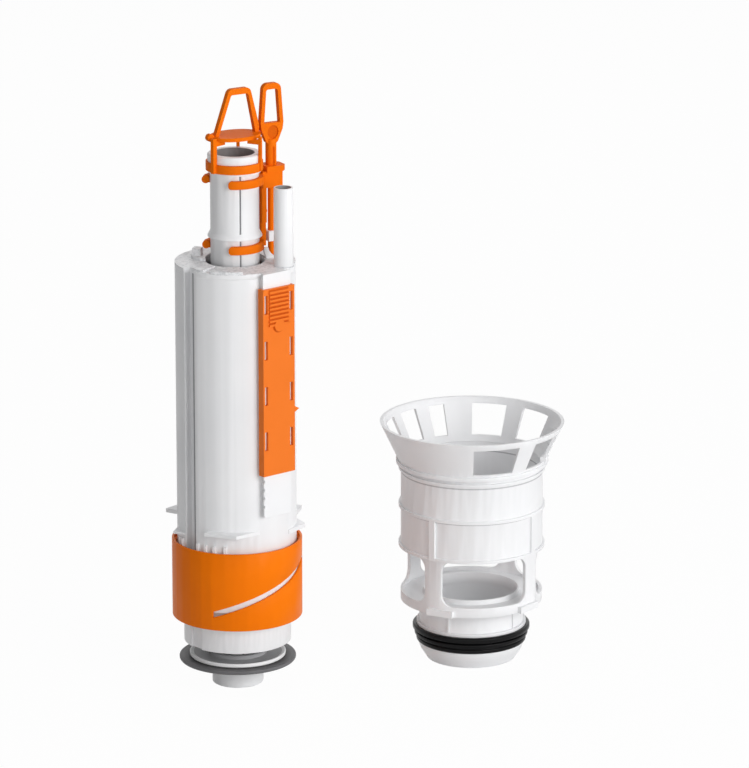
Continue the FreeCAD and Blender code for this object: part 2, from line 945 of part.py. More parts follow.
def lower_guide():
    """Skirt under the barrel, with spokes to the ring that guides the tube."""
    body = new_body("lower_guide")
    inside = S.skirt_out - S.wall
    flange_high = S.skirt_flange_low + S.skirt_flange_tall
    plug_high = flange_high + 6
    plug_out = S.barrel_low_out - S.wall - S.snap
    guide_in = S.tube_out + S.fit
    guide_out = guide_in + S.wall
    guide_high = S.guide_ring_low + S.guide_ring_tall
    revolve(body, [
        (inside, S.skirt_low),
        (S.skirt_out, S.skirt_low),
        (S.skirt_out, S.skirt_flange_low),
        (S.barrel_low_out, S.skirt_flange_low),
        (S.barrel_low_out, flange_high),
        (plug_out, flange_high),
        (plug_out, plug_high),
        (plug_out - S.wall, plug_high),
        (inside, flange_high),
    ])
    revolve(body, box(guide_in, guide_out, S.guide_ring_low, guide_high))
    spoke_half = S.spoke_wide / 2
    spoke = outward(body, S.groove_turn, guide_out - 0.5, inside - guide_out + 1, outlines=[
        box(-spoke_half, spoke_half, S.guide_ring_low, guide_high),
    ])
    around(body, spoke, S.spoke_count)
    boss_half = S.groove_wide / 2 + S.groove_back
    boss_in = S.groove_floor - S.groove_back
    outward(body, S.groove_turn, boss_in, inside - boss_in, outlines=[
        box(-boss_half, boss_half, S.skirt_low, S.skirt_flange_low),
    ])
    groove_half = S.groove_wide / 2
    outward(body, S.groove_turn, S.groove_floor, 6, outlines=[
        box(-groove_half, groove_half, S.skirt_low - 1, flange_high + 1),
    ], cut=True)


def housing_shell():
    """Barrel of the valve: lug ring, rib band, keys for the sleeve and an upright groove."""
    body = new_body("housing_shell")
    low = S.skirt_flange_low + S.skirt_flange_tall
    low_in = S.barrel_low_out - S.wall
    barrel_step = ring_level() - S.barrel_step_drop
    step_high = barrel_step + S.barrel_out - S.barrel_low_out
    revolve(body, [
        (low_in, low),
        (S.barrel_low_out, low),
        (S.barrel_low_out, barrel_step),
        (S.barrel_out, step_high),
        (S.barrel_out, S.barrel_top),
        (S.barrel_out - S.wall, S.barrel_top),
        (S.barrel_out - S.wall, step_high),
        (low_in, barrel_step),
    ])
    lip_high = ring_level() - S.lip_drop
    for start, begin, corner, reach, end, rise, thick in (
        (S.front_from, S.front_start, S.front_corner, S.front_reach, S.front_to, S.front_rise,
         S.front_tall),
        (S.left_from, S.lug_start, S.left_corner, S.left_reach, S.left_to, S.left_rise, S.left_tall),
        (S.side_from, S.lug_start, S.side_corner, S.side_reach, S.side_to, S.side_rise, S.lug_tall),
        (S.right_from, S.lug_start, S.right_corner, S.right_reach, S.right_to, S.right_rise, S.lug_tall),
        (S.back_from, S.lug_start, S.back_corner, S.back_reach, S.back_to, S.back_rise, S.lug_tall),
    ):
        root = S.barrel_out - S.wall * 0.4
        inner = [plan_point(start + (end - start) * step / 4, root) for step in range(5)]
        lug = [plan_point(start, begin), plan_point(corner, reach)]
        upward(body, ring_level() + rise, thick, outlines=[[*lug, *reversed(inner)]])
    rib_half = S.rib_wide / 2
    rib_low = lip_high + S.loose
    for turn in (S.rib_zero, S.rib_one, S.rib_two, S.rib_three, S.rib_four, S.rib_five):
        outward(body, turn, low_in + 0.5, S.wall - 0.5 + S.rib_proud, outlines=[
            box(-rib_half, rib_half, rib_low, rib_low + S.rib_tall),
        ])
    ledge_high = lip_high - S.lip_tall - S.loose
    ledge_out = (S.lip_in + S.ring_out - S.ring_wall) / 2 + 0.15
    ledge = revolve(
        body,
        box(low_in + 0.5, ledge_out, ledge_high - S.ledge_thick, ledge_high),
        angle=S.ledge_angle, turn=S.ledge_turn,
    )
    around(body, ledge, S.key_count)
    key_half = S.key_wide / 2
    key_low = S.ring_low + S.key_rise
    key = outward(body, S.key_turn, low_in + 0.5, S.wall - 0.5 + S.key_proud, outlines=[
        box(-key_half, key_half, key_low, key_low + S.key_tall),
    ])
    around(body, key, S.key_count)
    boss_half = S.groove_wide / 2 + S.groove_back
    boss_in = S.groove_floor - S.groove_back
    outward(body, S.groove_turn, boss_in, low_in + 1 - boss_in, outlines=[
        box(-boss_half, boss_half, low + 6 + S.loose, S.barrel_top),
    ])
    groove_half = S.groove_wide / 2
    outward(body, S.groove_turn, S.groove_floor, 12, outlines=[
        box(-groove_half, groove_half, low + 6 + S.loose + S.wall, S.barrel_top + 1),
    ], cut=True)
    port_half = S.rail_port_wide / 2
    for step in range(S.port_count.count()):
        port_high = port_level() - S.port_pitch * step
        outward(body, S.face_turn, 20, 14, outlines=[
            box(-port_half, port_half, port_high - S.port_tall, port_high),
        ], cut=True)


def housing_deck():
    """Cover on the barrel, open for the tube, the rod and the refill tube."""
    body = new_body("housing_deck")
    rod = (0, -S.pull_at, S.rod_foot + 0.6)
    upward(body, S.barrel_top, S.deck_thick, circles=[(0, 0, S.barrel_out)])
    upward(body, S.barrel_top - 1, S.deck_thick + 2, circles=[(0, 0, S.deck_hole)], cut=True)
    upward(
        body, S.barrel_top - 1, S.deck_thick + 2, circles=[rod], turn=S.clip_turn, cut=True,
    )
    boss = (0, -S.refill_at, S.refill_out + S.refill_boss)
    upward(body, S.barrel_top, S.deck_thick, circles=[boss], turn=S.refill_turn)
    bore = (0, -S.refill_at, S.refill_bore)
    upward(
        body, S.barrel_top - 1, S.deck_thick + 2, circles=[bore], turn=S.refill_turn, cut=True,
    )
    groove_half = S.groove_wide / 2
    outward(body, S.groove_turn, S.groove_floor, 12, outlines=[
        box(-groove_half, groove_half, S.barrel_top - 1, S.barrel_top + S.deck_thick + 1),
    ], cut=True)
    high = deck_level()
    lobe = (0, -S.lobe_at, S.lobe_out)
    upward(body, high - 0.5, S.lobe_tall + 0.5, circles=[lobe], turn=S.lobe_turn)
    upward(body, high - 1, S.lobe_tall + 2, circles=[(0, 0, S.deck_hole)], cut=True)
    for turn, angle in ((S.step_turn, S.step_angle), (S.step_left_turn, S.step_left_angle)):
        revolve(
            body, box(S.step_in, S.step_out, high - 0.5, high + S.step_tall),
            angle=angle, turn=turn,
        )
    peg_half = S.peg_wide / 2
    upward(body, high - 0.5, S.peg_tall + 0.5, outlines=[
        box(-peg_half, peg_half, -S.peg_at - peg_half, -S.peg_at + peg_half),
    ], turn=S.peg_turn)


def slider_rail():
    """Rail on the barrel that the slider runs on: a root that fits the barrel and a wider head."""
    body = new_body("slider_rail")
    head_out = S.face_at - S.face_thick - S.fit * 3
    head_in = head_out - S.rail_thick
    left = S.face_left - S.flange_thick - S.fit * 3
    right = S.face_right - S.flange_thick - S.fit * 3
    neck_left = left - S.hook_in - S.fit * 3
    neck_right = right - S.hook_in - S.fit * 3
    root = S.barrel_out - 6
    rail_low = rail_level()
    tall = deck_level() - rail_low
    upward(body, rail_low, tall, outlines=[[
        (-neck_left, -root),
        (-neck_left, -head_in),
        (-left, -head_in),
        (-left, -head_out),
        (right, -head_out),
        (right, -head_in),
        (neck_right, -head_in),
        (neck_right, -root),
    ]], turn=S.face_turn)
    upward(
        body, rail_low - 1, tall + 2, circles=[(0, 0, S.barrel_out + S.snap / 2)], cut=True,
    )
    boss = (0, -S.refill_at, S.refill_out + S.refill_boss + S.snap)
    upward(
        body, S.barrel_top - S.snap, S.deck_thick + 1, circles=[boss],
        turn=S.refill_turn, cut=True,
    )
    port_half = S.rail_port_wide / 2
    for step in range(S.port_count.count()):
        port_high = port_level() - S.port_pitch * step
        outward(body, S.face_turn, 20, 20, outlines=[
            box(-port_half, port_half, port_high - S.port_tall, port_high),
        ], cut=True)

    def head_corner(edge):
        if len(edge.Vertexes) != 2:
            return False
        one, two = (vertex.Point for vertex in edge.Vertexes)
        low_down = max(abs(one.z - rail_low.value), abs(two.z - rail_low.value)) < 0.01
        return low_down and abs(edge.Length - S.rail_thick.value) < 0.01

    round_edges(body, S.rail_round, head_corner)
    for step in range(S.notch_count.count()):
        outward(body, S.face_turn, head_in - 0.5, S.rail_thick + 1, circles=[
            (-left - S.notch_out * 0.4, rail_low + 6 + S.notch_pitch * step, S.notch_out),
        ], cut=True)


def volume_slider():
    """Slider that sets the short flush: ribbed grip, rows of ports, side flanges with hooks."""
    body = new_body("volume_slider")
    back = S.face_at - S.face_thick
    hook_high = S.face_at - S.flange_deep
    high = face_level()
    grip_low = high - S.grip_drop
    pointer_high = high - S.pointer_drop
    upward(body, high - S.face_tall, S.face_tall, outlines=[[
        (-S.face_left, -S.face_at),
        (S.face_right, -S.face_at),
        (S.face_right, -hook_high),
        (S.face_right - S.flange_thick - S.hook_in, -hook_high),
        (S.face_right - S.flange_thick - S.hook_in, -hook_high - S.hook_deep),
        (S.face_right - S.flange_thick, -hook_high - S.hook_deep),
        (S.face_right - S.flange_thick, -back),
        (-S.face_left + S.flange_thick, -back),
        (-S.face_left + S.flange_thick, -hook_high - S.hook_deep),
        (-S.face_left + S.flange_thick + S.hook_in, -hook_high - S.hook_deep),
        (-S.face_left + S.flange_thick + S.hook_in, -hook_high),
        (-S.face_left, -hook_high),
    ]], turn=S.face_turn)
    for side in (-S.port_half, S.port_half):
        for step in range(S.port_count.count()):
            port_high = port_level() - S.port_pitch * step
            outward(body, S.face_turn, back - 1, S.face_thick + 2, outlines=[
                box(side - S.port_wide / 2, side + S.port_wide / 2,
                    port_high - S.port_tall, port_high),
            ], cut=True)
    for step in range(S.grip_count.count()):
        low = grip_low + S.grip_pitch * step
        outward(body, S.face_turn, S.face_at - 0.5, 0.5 + S.grip_proud, outlines=[
            box(-S.grip_half, S.grip_half, low, low + S.grip_pitch * 0.5),
        ])
    outward(body, S.face_turn, S.face_at - 0.5, 0.5 + S.grip_proud, circles=[
        (0, grip_low, S.thumb),
    ])
    outward(body, S.face_turn, back + 0.2, S.face_thick - 0.4, outlines=[[
        (S.face_right - 1, pointer_high - S.pointer_half),
        (S.face_right + S.pointer_long, pointer_high),
        (S.face_right - 1, pointer_high + S.pointer_half),
    ]])


def throttle_ring():
    """Ring that sets the flush rate: two helical slots, opposite each other, and an inner lip."""
    body = new_body("throttle_ring")
    inside = S.ring_out - S.ring_wall
    high = ring_level()
    lip_high = high - S.lip_drop
    revolve(body, [
        (inside, S.ring_low),
        (S.ring_out, S.ring_low),
        (S.ring_out, high),
        (inside, high),
        (inside, lip_high),
        (S.lip_in, lip_high),
        (S.lip_in, lip_high - S.lip_tall),
        (inside, lip_high - S.lip_tall),
    ])
    sketch = upright_sketch(body, S.slot_turn - 90)
    half = S.slot_tall / 2
    add_outline(sketch, box(inside - 1.5, S.ring_out + 1.5, slot_level() - half, slot_level() + half))
    slot = body.newObject("PartDesign::SubtractiveHelix", "Slot")
    slot.Profile = sketch
    slot.ReferenceAxis = (sketch, ["V_Axis"])
    slot.Mode = 0
    slot.Pitch = S.slot_lead.value
    slot.Height = (S.slot_lead * S.slot_angle / 360).value
    bind(slot, "Pitch", S.slot_lead)
    bind(slot, "Height", S.slot_lead * S.slot_angle / 360)
    around(body, slot, S.slot_count)


def throttle_sleeve():
    """Sleeve inside the ring: keyed to the barrel, with a pin in each helical slot."""
    body = new_body("throttle_sleeve")
    sleeve_low = S.ring_low + S.sleeve_rise
    high = sleeve_low + S.sleeve_tall
    revolve(body, box(S.sleeve_in, S.sleeve_out, sleeve_low, high))
    pin_turn = S.slot_turn + S.slot_angle - S.pin_margin
    pin_high = slot_level() + S.slot_lead * (S.slot_angle - S.pin_margin) / 360
    pin_in = (S.sleeve_in + S.sleeve_out) / 2
    pin = outward(body, pin_turn, pin_in, S.ring_out - 0.2 - pin_in, circles=[
        (0, pin_high, S.pin_out),
    ])
    around(body, pin, S.slot_count)
    key_half = S.key_wide / 2 + S.snap
    key_floor = S.barrel_low_out + S.key_proud + S.snap * 1.5
    groove = outward(body, S.key_turn, S.sleeve_in - 1, key_floor - S.sleeve_in + 1, outlines=[
        box(-key_half, key_half, sleeve_low - 1, high + 1),
    ], cut=True)
    around(body, groove, S.key_count)


def full_flush_bail():
    """Bail for the full flush: collar under the rim, three posts, oval splash disc, pull hoop."""
    body = new_body("full_flush_bail")
    stop = stop_level()
    disc_low = tube_level() + S.disc_over
    rim_low = tube_level() - S.rim_tall
    disc_high = disc_low + S.disc_thick
    bail_high = disc_high + S.hoop_over
    inner_high = bail_high - S.hoop_bar_top
    sketch = upright_sketch(body, S.bail_turn)
    add_outline(sketch, [
        (-S.hoop_left, disc_high - 1),
        (S.hoop_right, disc_high - 1),
        (S.hoop_right, disc_high + S.hoop_knee),
        (S.hoop_right_high, bail_high),
        (-S.hoop_left_high, bail_high),
    ])
    add_outline(sketch, [
        (-S.hoop_left + S.hoop_bar + 0.3, disc_high),
        (S.hoop_right - S.hoop_bar, disc_high),
        (S.hoop_right_high - S.hoop_bar + 1, inner_high),
        (-S.hoop_left_high + S.hoop_bar - 1, inner_high),
    ])
    grow(body, sketch, S.hoop_thick, cut=False, middle=True)
    round_across(body, S.hoop_round, bail_high, S.hoop_thick)
    round_across(body, S.hoop_round_in, inner_high, S.hoop_thick)
    disc = oval(S.disc_at, 0, S.disc_out, S.disc_half, corners=32)
    upward(body, disc_low, S.disc_thick, outlines=[disc], turn=S.bail_turn)
    post_in = S.rim_out + S.snap * 1.5
    arm_low = disc_low - S.post_arm_tall
    for turn, wide, thick, high in (
        (S.post_one_turn, S.post_one_wide, S.post_one_thick, disc_high),
        (S.post_two_turn, S.post_two_wide, S.post_two_thick, disc_high),
        (S.post_three_turn, S.post_three_wide, S.post_three_thick, disc_low),
    ):
        half = wide / 2
        outward(body, turn, S.disc_arm_in, post_in + thick - S.disc_arm_in, outlines=[
            box(-half, half, arm_low, disc_low + 0.3),
        ])
        outward(body, turn, post_in, thick, outlines=[
            box(-half, half, stop + 0.2, high),
        ])
    sketch = upright_sketch(body, S.bail_turn)
    add_circle(sketch, -S.knob_at, disc_low + S.knob_rise, S.knob)
    grow(body, sketch, S.hoop_thick, cut=False, middle=True)
    revolve(body, box(S.tube_out + S.snap, S.bail_out, stop, rim_low - S.snap))


def half_flush_clip():
    """Clip on the tube: two C arms with a bead each, a strip and the box of the pull."""
    body = new_body("half_flush_clip")
    arm_high = stop_level() - S.arm_drop
    arm_low = arm_high - S.arm_pitch
    box_low = box_level()
    box_high = stop_level() - S.clip_plate_thick
    tube = S.tube_out + S.snap
    for low in (arm_high, arm_low):
        revolve(
            body, box(tube, S.clip_out, low, low + S.arm_tall),
            angle=S.arm_back - S.arm_front, turn=(S.arm_back + S.arm_front) / 2,
        )
        sketch = upright_sketch(body, S.arm_back - 90)
        add_circle(sketch, S.bead_at, low + S.arm_tall / 2, S.arm_tall / 2)
        grow(body, sketch, S.bead_long, cut=False, middle=True)
        upward(body, low - 1, S.arm_tall + 2, circles=[(0, 0, tube)], cut=True)
    tip_turn = math.radians(S.arm_front.value)
    arm_thick = S.clip_out - tube

    def arm_tip(edge):
        if len(edge.Vertexes) != 2 or abs(edge.Length - arm_thick.value) > 0.01:
            return False
        one, two = (vertex.Point for vertex in edge.Vertexes)
        across = max(abs(at.x * math.cos(tip_turn) + at.y * math.sin(tip_turn)) for at in (one, two))
        return across < 0.01 and abs(one.z - two.z) < 0.01 and one.y < 0

    round_edges(body, S.arm_round, arm_tip)
    strip_in = S.cone_out + S.snap
    strip_deep = S.clip_out + 2 - strip_in
    for half, low in ((S.strip_wide / 2, arm_low + S.strip_rise), (S.strip_slim / 2, arm_low)):
        outward(body, S.clip_turn, strip_in, strip_deep, outlines=[
            box(-half, half, low, box_low + 1),
        ])
    half = S.clip_box_wide / 2
    box_out = S.pull_at + S.clip_box_wide / 2
    outward(body, S.clip_turn, strip_in, box_out - strip_in, outlines=[
        box(-half, half, box_low, box_high),
    ])
    plate_in = S.bail_out + S.post_two_thick
    upward(body, box_high - 0.5, S.clip_plate_thick + 0.5, outlines=[[
        (-half - 0.8, -plate_in),
        (-half - 0.8, -S.clip_plate_out + 2),
        (-half + 1.4, -S.clip_plate_out),
        (half - 1.4, -S.clip_plate_out),
        (half + 0.8, -S.clip_plate_out + 2),
        (half + 0.8, -plate_in),
    ]], turn=S.clip_turn)
    upward(body, box_low - 1, 20, circles=[
        (0, -S.pull_at, S.rod_out + S.snap),
    ], turn=S.clip_turn, cut=True)
    upward(body, stem_level() - S.loose, 20, circles=[
        (0, -S.pull_at, S.stem_out + S.fit),
    ], turn=S.clip_turn, cut=True)
    outward(body, S.clip_turn, S.clip_out + 1.5, 1.3, circles=[(-1, arm_low + S.stud_rise, 1.2)])


def half_flush_pull():
    """Pull for the short flush: rod, fluted stem, shield with an oval recess and a long eye."""
    body = new_body("half_flush_pull")
    rod_low = S.barrel_top - S.rod_drop
    stem_low = stem_level()
    shield_low = tube_level() + S.shield_over
    hip_high = shield_low + S.hip_rise
    loop_high = hip_high + S.loop_tall
    middle = S.pull_at
    face = S.clip_turn - 90
    foot_high = rod_low + 2
    upward(body, rod_low, stem_low + 1 - rod_low, circles=[
        (0, -middle, S.rod_out),
    ], turn=S.clip_turn)
    upward(body, rod_low, foot_high - rod_low, circles=[
        (0, -middle, S.rod_foot),
    ], turn=S.clip_turn)
    upward(body, stem_low, shield_low + 3 - stem_low, circles=[
        (0, -middle, S.stem_out),
    ], turn=S.clip_turn)
    flute_half = S.flute_wide / 2
    flute_high = shield_low - 1
    outward(body, face, S.stem_out - S.flute_deep, S.flute_deep + 1, outlines=[
        box(middle - flute_half, middle + flute_half, stem_low + 2, flute_high),
    ], cut=True)
    rise = shield_low + S.shield_rise
    inner_high = loop_high - S.loop_bar_top
    sketch = upright_sketch(body, face)
    add_outline(sketch, [
        (middle - S.stem_out * 0.6, shield_low),
        (middle + S.stem_out * 0.6, shield_low),
        (middle + S.shield_half, shield_low + 1.5),
        (middle + S.loop_hip - 0.5, rise),
        (middle + S.loop_hip, hip_high),
        (middle + S.loop_half, loop_high),
        (middle - S.loop_half, loop_high),
        (middle - S.loop_hip, hip_high),
        (middle - S.loop_hip + 0.5, rise),
        (middle - S.shield_half, shield_low + 1.5),
    ])
    add_outline(sketch, [
        (middle - S.loop_hip + S.loop_bar, hip_high),
        (middle + S.loop_hip - S.loop_bar, hip_high),
        (middle + S.loop_half - S.loop_bar + 0.3, inner_high),
        (middle - S.loop_half + S.loop_bar - 0.3, inner_high),
    ])
    grow(body, sketch, S.loop_thick, cut=False, middle=True)
    round_across(body, S.loop_round, loop_high, S.loop_thick)
    round_across(body, S.loop_round_in, inner_high, S.loop_thick)
    recess_at = middle + S.recess_shift
    recess = oval(recess_at, shield_low + S.recess_rise, S.recess_wide / 2, S.recess_tall / 2)
    outward(body, face, S.loop_thick / 2 - S.recess_deep, 2, outlines=[recess], cut=True)


def refill_tube():
    """Open tube on the deck that takes the refill hose."""
    body = new_body("refill_tube")
    low = deck_level()
    middle = (0, -S.refill_at)
    tall = S.refill_tall
    upward(body, low, tall, circles=[(*middle, S.refill_out)], turn=S.refill_turn)
    upward(
        body, low - 1, tall + 2, circles=[(*middle, S.refill_bore)], turn=S.refill_turn, cut=True,
    )


def rod_guide():
    """Eye that steers the pull's rod, on a leg, with a curved fin on the same foot plate."""
    body = new_body("rod_guide")
    low = deck_level()
    eye_low = low + S.rod_guide_rise
    high = eye_low + S.rod_guide_tall
    leg_in = S.pull_at + S.rod_foot + 0.6
    leg_out = leg_in + S.eye_leg
    foot_in = S.deck_hole + 0.3
    base_high = low + S.guide_base_thick
    upward(body, low, S.guide_base_thick, outlines=[
        box(-S.guide_base_half, S.guide_base_half, -leg_out, -foot_in),
    ], turn=S.clip_turn)
    upward(body, low, high - low, outlines=[
        box(-S.eye_half, S.eye_half, -leg_out, -leg_in),
    ], turn=S.clip_turn)
    upward(body, eye_low, S.rod_guide_tall, outlines=[
        box(-S.eye_half, S.eye_half, -leg_out, -S.pull_at + S.rod_out + 1.2),
    ], turn=S.clip_turn)
    upward(body, low - 1, S.guide_base_thick + 2, circles=[
        (0, -S.pull_at, S.rod_foot + 0.6),
    ], turn=S.clip_turn, cut=True)
    upward(body, eye_low - 1, S.rod_guide_tall + 2, circles=[
        (0, -S.pull_at, S.rod_out + S.fit),
    ], turn=S.clip_turn, cut=True)
    fin_near = S.guide_base_half - S.fin_thick
    outward(body, S.clip_turn - 90, fin_near, S.fin_thick, outlines=[[
        (foot_in, base_high - 0.2),
        (foot_in + 5, base_high - 0.2),
        (foot_in + 2.9, base_high + S.fin_tall * 0.3),
        (foot_in + 1.7, base_high + S.fin_tall * 0.65),
        (foot_in + 1.2, base_high + S.fin_tall),
        (foot_in - 1.4, base_high + S.fin_tall),
        (foot_in - 0.9, base_high + S.fin_tall * 0.5),
    ]])


def full_flush_float():
    """Foam float on the tube that holds it up through a full flush."""
    body = new_body("full_flush_float")
    high = S.float_low + S.float_tall
    revolve(body, [
        (S.tube_out + S.snap, S.float_low),
        (S.float_out - 2, S.float_low),
        (S.float_out, S.float_low + 2),
        (S.float_out, high - 2),
        (S.float_out - 2, high),
        (S.tube_out + S.snap, high),
    ])


def tube_collar(label, low, tall):
    """Clip collar on the tube, open at the back as a spring clip is."""
    body = new_body(label)
    revolve(
        body, box(S.tube_out + S.snap, S.tube_out + S.snap + 2, low, low + tall),
        angle=S.collar_angle, turn=0,
    )


def float_clip_low():
    """Clip collar that carries the float."""
    tube_collar("float_clip_low", S.float_low - S.float_clip_tall, S.float_clip_tall)


def float_clip_high():
    """Clip collar that keeps the float down on the tube."""
    tube_collar("float_clip_high", S.float_low + S.float_tall, S.float_clip_tall)


def catch_collar():
    """Clip collar that the release latch pushes down as the short flush ends."""
    tube_collar("catch_collar", latch_level() - S.catch_drop, S.catch_thick)


def half_float_tray():
    """Shelf on the barrel's inner wall that the short-flush float rests on."""
    body = new_body("half_float_tray")
    high = latch_level() - S.half_float_drop - S.loose
    wall_in = S.barrel_out - S.wall - S.snap / 2
    revolve(
        body, box(S.half_float_in - 1, wall_in, high - S.wall, high),
        angle=S.half_float_angle, turn=S.half_float_turn,
    )


def half_flush_float():
    """Float of the short flush: a block around part of the tube, with a stem on top."""
    body = new_body("half_flush_float")
    low = latch_level() - S.half_float_drop
    high = low + S.half_float_tall
    revolve(
        body, box(S.half_float_in, S.half_float_out, low, high),
        angle=S.half_float_angle - 6, turn=S.half_float_turn,
    )
    stem_at = (S.half_float_in + S.half_float_out) / 2
    upward(body, high - 1, latch_level() - S.loose - high + 1, circles=[
        (0, -stem_at, S.latch_axle_out),
    ], turn=S.half_float_turn)


def axle_side():
    """Azimuth that the latch's axle lies on, opposite the float, and the height of the axle."""
    return S.half_float_turn + 180, latch_level() + S.latch_thick / 2


def release_latch():
    """Yoke round the tube: an arm over the float's stem and a barrel on the axle opposite."""
    body = new_body("release_latch")
    side, high = axle_side()
    arm_half = S.latch_arm_wide / 2
    stem_at = (S.half_float_in + S.half_float_out) / 2
    barrel_out = S.latch_axle_out + S.fit + S.wall * 0.8
    upward(body, latch_level(), S.latch_thick, circles=[(0, 0, S.latch_out)])
    upward(body, latch_level(), S.latch_thick, outlines=[
        box(-arm_half, arm_half, -stem_at - 2.5, -S.latch_in),
    ], turn=S.half_float_turn)
    upward(body, latch_level(), S.latch_thick, outlines=[
        box(-arm_half, arm_half, -S.latch_axle_at, -S.latch_in),
    ], turn=side)
    upward(body, latch_level() - 1, S.latch_thick + 2, circles=[(0, 0, S.latch_in)], cut=True)
    sketch = upright_sketch(body, side - 90)
    add_circle(sketch, S.latch_axle_at, high, barrel_out)
    grow(body, sketch, S.latch_barrel_long, cut=False, middle=True)
    sketch = upright_sketch(body, side - 90)
    add_circle(sketch, S.latch_axle_at, high, S.latch_axle_out + S.fit)
    grow(body, sketch, S.latch_axle_long * 2, cut=True, middle=True)


def latch_bracket():
    """Bracket on the barrel's inner wall with two ears for the latch's axle."""
    body = new_body("latch_bracket")
    side, high = axle_side()
    wall_in = S.barrel_out - S.wall - S.snap / 2
    ear_in = S.latch_axle_at - S.latch_axle_out - S.wall
    ear_near = S.latch_barrel_long / 2 + S.loose
    ear_half = S.latch_axle_out + S.wall
    revolve(
        body, box(wall_in - S.wall / 2, wall_in, high - ear_half - 1, high + ear_half + 1),
        angle=S.latch_bracket_angle, turn=side,
    )
    for facing, reach in ((side - 90, 1), (side + 90, -1)):
        outward(body, facing, ear_near, S.wall, outlines=[
            box(ear_in * reach, (wall_in - S.wall) * reach, high - ear_half, high + ear_half),
        ])
    sketch = upright_sketch(body, side - 90)
    add_circle(sketch, S.latch_axle_at, high, S.latch_axle_out + S.snap / 2)
    grow(body, sketch, S.latch_axle_long * 2, cut=True, middle=True)


def latch_axle():
    """Steel axle of the latch, held in the bracket's ears."""
    body = new_body("latch_axle")
    side, high = axle_side()
    sketch = upright_sketch(body, side - 90)
    add_circle(sketch, S.latch_axle_at, high, S.latch_axle_out)
    grow(body, sketch, S.latch_axle_long, cut=False, middle=True)


def upper_guide():
    """Guide ring for the tube near the top of the barrel, on three spokes."""
    body = new_body("upper_guide")
    low = S.barrel_top - S.upper_guide_drop
    guide_in = S.tube_out + S.fit
    guide_out = guide_in + S.wall
    wall_in = S.barrel_out - S.wall - S.snap / 2
    high = low + S.upper_guide_tall
    revolve(body, box(guide_in, guide_out, low, high))
    half = S.spoke_wide / 2
    spoke = outward(body, S.upper_spoke_turn, guide_out - 0.5, wall_in - guide_out + 0.4, outlines=[
        box(-half, half, low, high),
    ])
    around(body, spoke, S.upper_spoke_count)


for make in (
    basket_body,
    basket_funnel,
    basket_lip_seal,
    overflow_tube,
    seal_nut,
    flush_seal,
    seal_retainer,
    tube_o_ring,
    lower_guide,
    housing_shell,
    housing_deck,
    slider_rail,
    volume_slider,
    throttle_ring,
    throttle_sleeve,
    full_flush_bail,
    half_flush_clip,
    half_flush_pull,
    refill_tube,
    rod_guide,
    full_flush_float,
    float_clip_low,
    float_clip_high,
    catch_collar,
    half_float_tray,
    half_flush_float,
    release_latch,
    latch_bracket,
    latch_axle,
    upper_guide,
):
    make()

DOC.recompute()

faults = []
for item in DOC.Objects:
    if "Invalid" in item.State or "Error" in item.State:
        faults.append(f"{item.Name} in {getattr(item.getParentGeoFeatureGroup(), 'Label', '-')}")
for part in PARTS:
    if part.Shape.isNull() or not part.Shape.isValid() or not part.Shape.Solids:
        faults.append(f"{part.Label} has no valid solid")
if faults:
    raise RuntimeError("; ".join(faults))

os.makedirs("parts", exist_ok=True)
for part in PARTS:
    part.Shape.exportStep(f"parts/{part.Label}.step")
    print(part.Label, len(part.Shape.Solids), round(part.Shape.Volume))
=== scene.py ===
import bpy
import math
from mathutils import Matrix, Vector


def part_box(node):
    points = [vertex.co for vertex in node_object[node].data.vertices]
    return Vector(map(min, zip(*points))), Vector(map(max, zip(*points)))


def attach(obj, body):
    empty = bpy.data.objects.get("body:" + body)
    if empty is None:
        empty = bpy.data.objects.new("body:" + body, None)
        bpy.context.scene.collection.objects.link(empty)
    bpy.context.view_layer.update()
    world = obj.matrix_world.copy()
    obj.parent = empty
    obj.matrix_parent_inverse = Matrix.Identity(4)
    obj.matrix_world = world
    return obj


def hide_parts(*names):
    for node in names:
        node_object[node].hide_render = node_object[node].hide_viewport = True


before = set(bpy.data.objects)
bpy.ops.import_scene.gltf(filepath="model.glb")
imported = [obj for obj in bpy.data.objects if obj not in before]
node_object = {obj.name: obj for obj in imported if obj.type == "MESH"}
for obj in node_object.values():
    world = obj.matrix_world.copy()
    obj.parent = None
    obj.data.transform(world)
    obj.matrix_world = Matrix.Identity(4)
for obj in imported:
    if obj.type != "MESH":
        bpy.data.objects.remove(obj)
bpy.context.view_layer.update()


# Stage
# The photograph's view: a long lens that looks a little down on the valve and the basket,
# which stand side by side on a white floor between large soft lamps.

nut_low, nut_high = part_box("seal_nut")
valve_axis = (nut_low + nut_high) / 2
look_pitch = math.radians(15.6)
look_far = 2.837
look_right = 0.0728
look_high = 0.164
look_at = Vector((valve_axis.x + look_right, valve_axis.y, look_high))

camera = bpy.data.objects.new("camera", bpy.data.cameras.new("camera"))
camera.data.sensor_width = 36
camera.data.lens = 253.1
camera.data.clip_start = 0.1
camera.data.clip_end = 50
camera.location = look_at + look_far * Vector((0, -math.cos(look_pitch), math.sin(look_pitch)))
camera.rotation_euler = (math.pi / 2 - look_pitch, 0, 0)
bpy.context.scene.collection.objects.link(camera)
bpy.context.scene.camera = camera
bpy.context.scene.view_settings.view_transform = "Standard"


